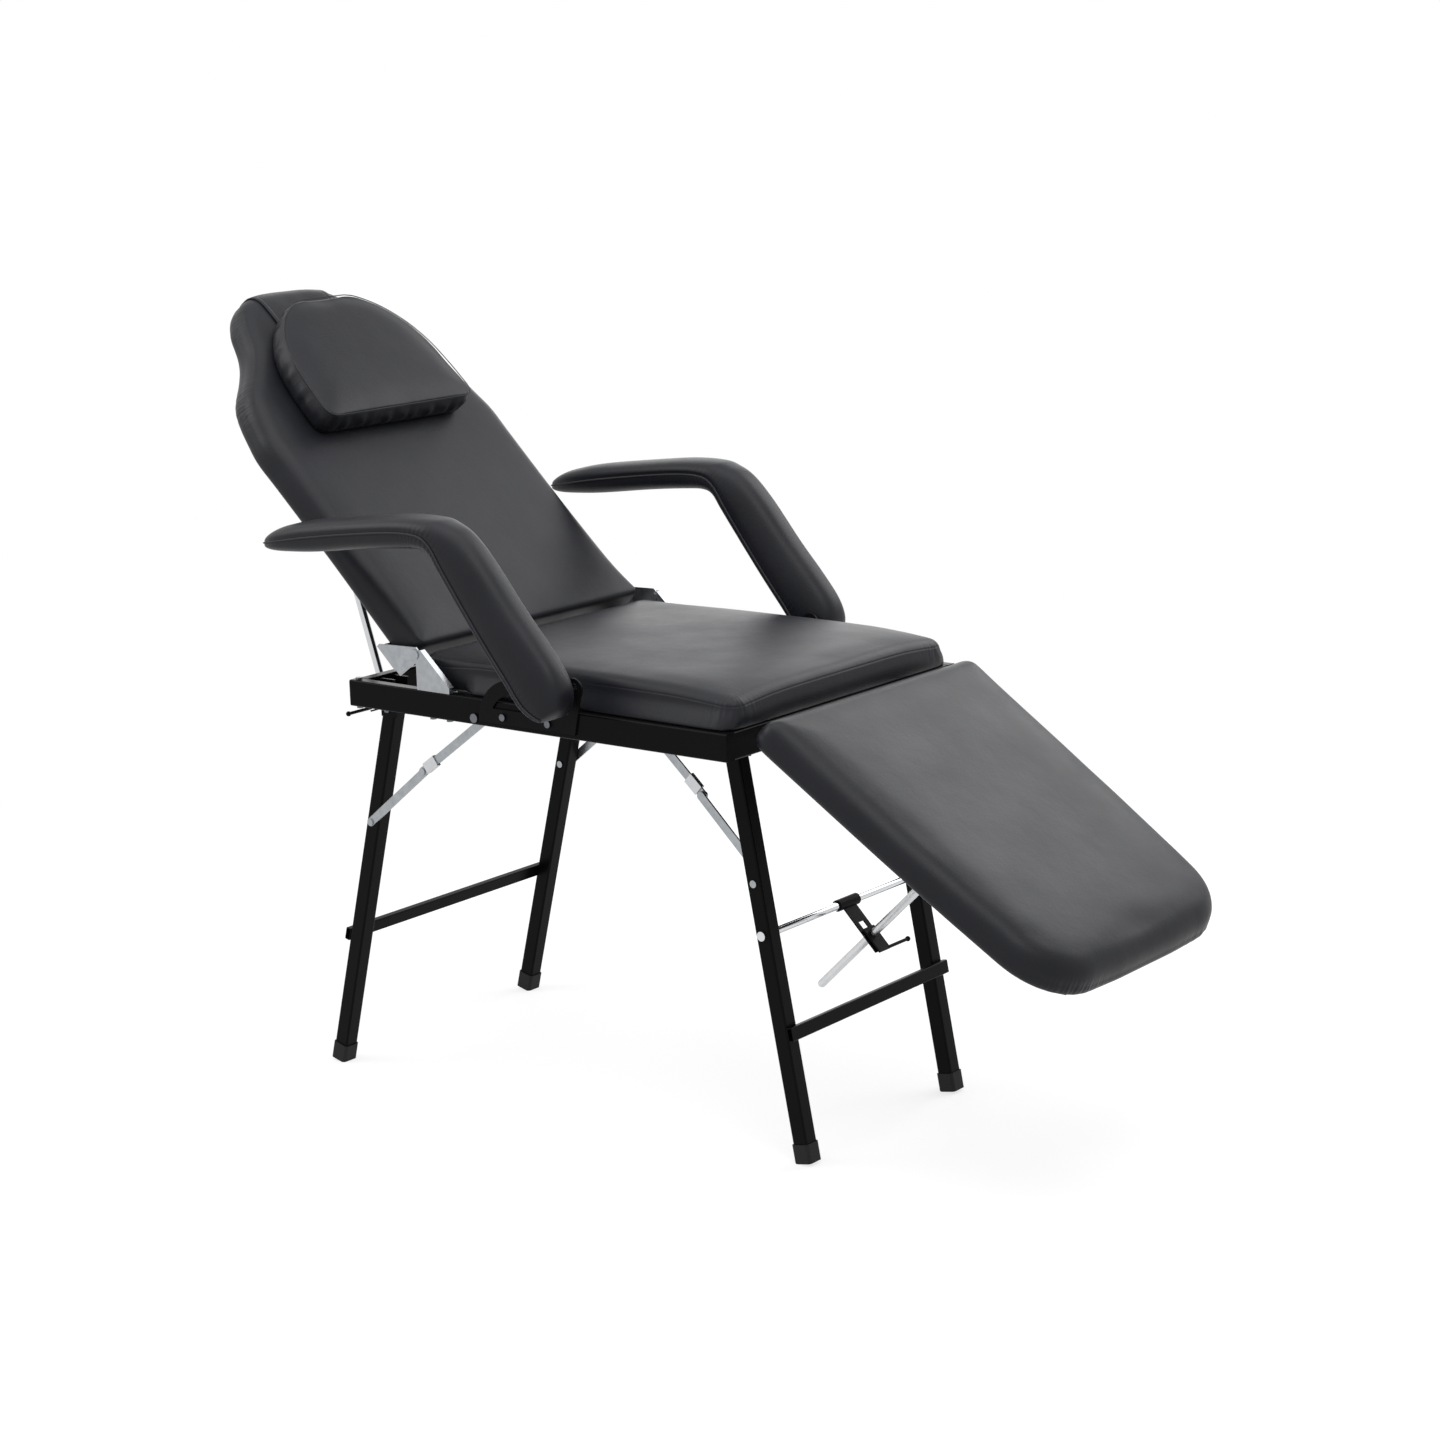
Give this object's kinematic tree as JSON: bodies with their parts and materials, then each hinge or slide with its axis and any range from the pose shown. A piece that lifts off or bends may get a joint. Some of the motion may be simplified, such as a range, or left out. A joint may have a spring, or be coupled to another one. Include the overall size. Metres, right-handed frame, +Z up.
{
  "type": "tattoo chair",
  "caption": "Folding tattoo chair with reclining backrest, head pillow, curved padded armrests and adjustable leg rest on a black tube frame with folding legs",
  "frame": {"origin": "on the floor under the middle of the chair's box, with the backrest reclined and the leg rest sloping down as in the picture", "axes": "+X towards the leg rest, +Y towards the sitter's left, +Z up"},
  "size_m": [1.6449, 0.731, 1.1898],
  "materials": {
    "black_frame": "satin powder coat",
    "leatherette": "fine grained black leatherette",
    "zinc": "bright zinc plate",
    "chrome": "polished",
    "rubber": "matt moulded",
    "board": "plywood under black lining"
  },
  "bodies": {
    "frame": {"rail_right": "black_frame", "rail_left": "black_frame", "rear_cross_bar": "black_frame", "front_cross_bar": "black_frame", "seat_cross_bars": "black_frame", "leg_pivot_cheeks": "black_frame", "leg_pivot_bolts": "zinc", "rear_stay_bolts": "zinc", "front_stay_lugs": "black_frame", "hinge_plate_fixed_right": "zinc", "hinge_plate_fixed_left": "zinc", "seat_pad": "leatherette", "seat_board": "board", "backrest_prop_bar": "chrome", "leg_rest_hinges_fixed": "zinc", "armrest_bracket_right": "black_frame", "armrest_bracket_left": "black_frame", "armrest_bolts": "zinc", "frame_bolts": "zinc"},
    "rear_legs": {"rear_leg_right": "black_frame", "rear_leg_left": "black_frame", "rear_leg_crossbar": "black_frame", "rear_foot_caps": "rubber"},
    "front_legs": {"front_leg_right": "black_frame", "front_leg_left": "black_frame", "front_leg_crossbar": "black_frame", "front_foot_caps": "rubber", "leg_rest_prop_bar": "chrome"},
    "backrest": {"backrest_pad": "leatherette", "backrest_board": "board", "hinge_plate_moving_right": "zinc", "hinge_plate_moving_left": "zinc", "backrest_prop_fork": "black_frame", "pillow_strap": "leatherette"},
    "pillow": {"head_pillow": "leatherette"},
    "leg_rest": {"leg_rest_pad": "leatherette", "leg_rest_board": "board", "leg_rest_hinges_moving": "zinc", "leg_rest_prop_fork": "black_frame"},
    "leg_rest_prop_rod": {"leg_rest_rod": "chrome"},
    "leg_rest_prop_clamp": {"leg_rest_clamp": "black_frame"},
    "leg_rest_prop_lever": {"leg_rest_jam_lever": "black_frame"},
    "backrest_prop_rod": {"backrest_rod": "chrome"},
    "backrest_prop_clamp": {"backrest_clamp": "black_frame"},
    "backrest_prop_lever": {"backrest_jam_lever": "black_frame"},
    "armrest_right": {"armrest_right": "leatherette"},
    "armrest_left": {"armrest_left": "leatherette"},
    "rear_right_upper_link": {"rear_right_stay_upper": "zinc"},
    "rear_right_lower_link": {"rear_right_stay_lower": "zinc"},
    "rear_right_sleeve": {"rear_right_stay_sleeve": "zinc"},
    "rear_left_upper_link": {"rear_left_stay_upper": "zinc"},
    "rear_left_lower_link": {"rear_left_stay_lower": "zinc"},
    "rear_left_sleeve": {"rear_left_stay_sleeve": "zinc"},
    "front_right_upper_link": {"front_right_stay_upper": "zinc"},
    "front_right_lower_link": {"front_right_stay_lower": "zinc"},
    "front_right_sleeve": {"front_right_stay_sleeve": "zinc"},
    "front_left_upper_link": {"front_left_stay_upper": "zinc"},
    "front_left_lower_link": {"front_left_stay_lower": "zinc"},
    "front_left_sleeve": {"front_left_stay_sleeve": "zinc"}
  },
  "joints": [
    {"name": "rear_legs_fold", "type": "hinge", "parent": "frame", "child": "rear_legs", "pos_m": [-0.3705, 0, 0.588], "axis": [0, -1, 0], "range_deg": [0, 104.5]},
    {"name": "front_legs_fold", "type": "hinge", "parent": "frame", "child": "front_legs", "pos_m": [0.2505, 0, 0.592], "axis": [0, 1, 0], "range_deg": [0, 100.7]},
    {"name": "rear_right_stay_top", "type": "hinge", "parent": "frame", "child": "rear_right_upper_link", "pos_m": [-0.1515, -0.238, 0.607], "axis": [0, 1, 0], "range_deg": [0, 31.79]},
    {"name": "rear_right_stay_foot", "type": "hinge", "parent": "rear_legs", "child": "rear_right_lower_link", "pos_m": [-0.4195, -0.238, 0.404], "axis": [0, -1, 0], "range_deg": [0, 34.52]},
    {"name": "rear_right_sleeve_slide", "type": "slide", "parent": "rear_right_upper_link", "child": "rear_right_sleeve", "axis": [0.8104, 0, 0.5859], "range_m": [0, 0.03]},
    {"name": "rear_left_stay_top", "type": "hinge", "parent": "frame", "child": "rear_left_upper_link", "pos_m": [-0.1515, 0.238, 0.607], "axis": [0, 1, 0], "range_deg": [0, 31.79]},
    {"name": "rear_left_stay_foot", "type": "hinge", "parent": "rear_legs", "child": "rear_left_lower_link", "pos_m": [-0.4195, 0.238, 0.404], "axis": [0, -1, 0], "range_deg": [0, 34.52]},
    {"name": "rear_left_sleeve_slide", "type": "slide", "parent": "rear_left_upper_link", "child": "rear_left_sleeve", "axis": [0.8104, 0, 0.5859], "range_m": [0, 0.03]},
    {"name": "front_right_stay_top", "type": "hinge", "parent": "frame", "child": "front_right_upper_link", "pos_m": [0.0665, -0.166, 0.607], "axis": [0, -1, 0], "range_deg": [0, 32.51]},
    {"name": "front_right_stay_foot", "type": "hinge", "parent": "front_legs", "child": "front_right_lower_link", "pos_m": [0.2865, -0.166, 0.402], "axis": [0, 1, 0], "range_deg": [0, 39.07]},
    {"name": "front_right_sleeve_slide", "type": "slide", "parent": "front_right_upper_link", "child": "front_right_sleeve", "axis": [-0.7436, 0, 0.6686], "range_m": [0, 0.03]},
    {"name": "front_left_stay_top", "type": "hinge", "parent": "frame", "child": "front_left_upper_link", "pos_m": [0.0665, 0.166, 0.607], "axis": [0, -1, 0], "range_deg": [0, 32.51]},
    {"name": "front_left_stay_foot", "type": "hinge", "parent": "front_legs", "child": "front_left_lower_link", "pos_m": [0.2865, 0.166, 0.402], "axis": [0, 1, 0], "range_deg": [0, 39.07]},
    {"name": "front_left_sleeve_slide", "type": "slide", "parent": "front_left_upper_link", "child": "front_left_sleeve", "axis": [-0.7436, 0, 0.6686], "range_m": [0, 0.03]},
    {"name": "backrest_recline", "type": "hinge", "parent": "frame", "child": "backrest", "pos_m": [-0.2655, 0, 0.689], "axis": [0, -1, 0], "range_deg": [-6, 44]},
    {"name": "leg_rest_rise", "type": "hinge", "parent": "frame", "child": "leg_rest", "pos_m": [0.316, 0, 0.616], "axis": [0, -1, 0], "range_deg": [-3, 33.6]},
    {"name": "leg_rest_rod_pin", "type": "hinge", "parent": "leg_rest", "child": "leg_rest_prop_rod", "pos_m": [0.5305, 0.008, 0.468], "axis": [0, -1, 0], "range_deg": [-23.67, 2.39]},
    {"name": "leg_rest_clamp_turn", "type": "hinge", "parent": "front_legs", "child": "leg_rest_prop_clamp", "pos_m": [0.2995, 0.008, 0.328], "axis": [0, -1, 0], "range_deg": [-1.21, 10.53]},
    {"name": "leg_rest_lever_slide", "type": "slide", "parent": "leg_rest_prop_rod", "child": "leg_rest_prop_lever", "axis": [0.7161, 0, 0.698], "range_m": [-0.1295, 0.01247]},
    {"name": "backrest_rod_pin", "type": "hinge", "parent": "backrest", "child": "backrest_prop_rod", "pos_m": [-0.55099, -0.15, 0.8785], "axis": [0, -1, 0], "range_deg": [-0.325, 0.485]},
    {"name": "backrest_clamp_turn", "type": "hinge", "parent": "frame", "child": "backrest_prop_clamp", "pos_m": [-0.3945, -0.15, 0.584], "axis": [0, -1, 0], "range_deg": [-6.33, 44.48]},
    {"name": "backrest_lever_slide", "type": "slide", "parent": "backrest_prop_rod", "child": "backrest_prop_lever", "axis": [-0.2998, 0, 0.954], "range_m": [-0.01797, 0.12542]},
    {"name": "armrest_right_swing", "type": "hinge", "parent": "frame", "child": "armrest_right", "pos_m": [0.0415, -0.327, 0.671], "axis": [0, -1, 0], "range_deg": [0, 45]},
    {"name": "armrest_left_swing", "type": "hinge", "parent": "frame", "child": "armrest_left", "pos_m": [0.0415, 0.327, 0.671], "axis": [0, -1, 0], "range_deg": [0, 45]},
    {"name": "pillow_height", "type": "slide", "parent": "backrest", "child": "pillow", "axis": [0.7193, 0, -0.6947], "range_m": [0, 0.09]}
  ],
  "couplings": [
    {"joint": "rear_right_stay_top", "follows": "rear_legs_fold", "ratio": 0.30227},
    {"joint": "rear_right_stay_foot", "follows": "rear_legs_fold", "ratio": 0.32847},
    {"joint": "rear_left_stay_top", "follows": "rear_legs_fold", "ratio": 0.30227},
    {"joint": "rear_left_stay_foot", "follows": "rear_legs_fold", "ratio": 0.32847},
    {"joint": "front_right_stay_top", "follows": "front_legs_fold", "ratio": 0.32083},
    {"joint": "front_right_stay_foot", "follows": "front_legs_fold", "ratio": 0.38604},
    {"joint": "front_left_stay_top", "follows": "front_legs_fold", "ratio": 0.32083},
    {"joint": "front_left_stay_foot", "follows": "front_legs_fold", "ratio": 0.38604},
    {"joint": "leg_rest_rod_pin", "follows": "leg_rest_rise", "ratio": -0.69542},
    {"joint": "leg_rest_clamp_turn", "follows": "leg_rest_rise", "ratio": 0.30458},
    {"joint": "leg_rest_lever_slide", "follows": "leg_rest_rise", "m_per_rad": -0.21912},
    {"joint": "backrest_rod_pin", "follows": "backrest_recline", "ratio": 0.004193},
    {"joint": "backrest_clamp_turn", "follows": "backrest_recline", "ratio": 1.0042},
    {"joint": "backrest_lever_slide", "follows": "backrest_recline", "m_per_rad": 0.16201}
  ]
}
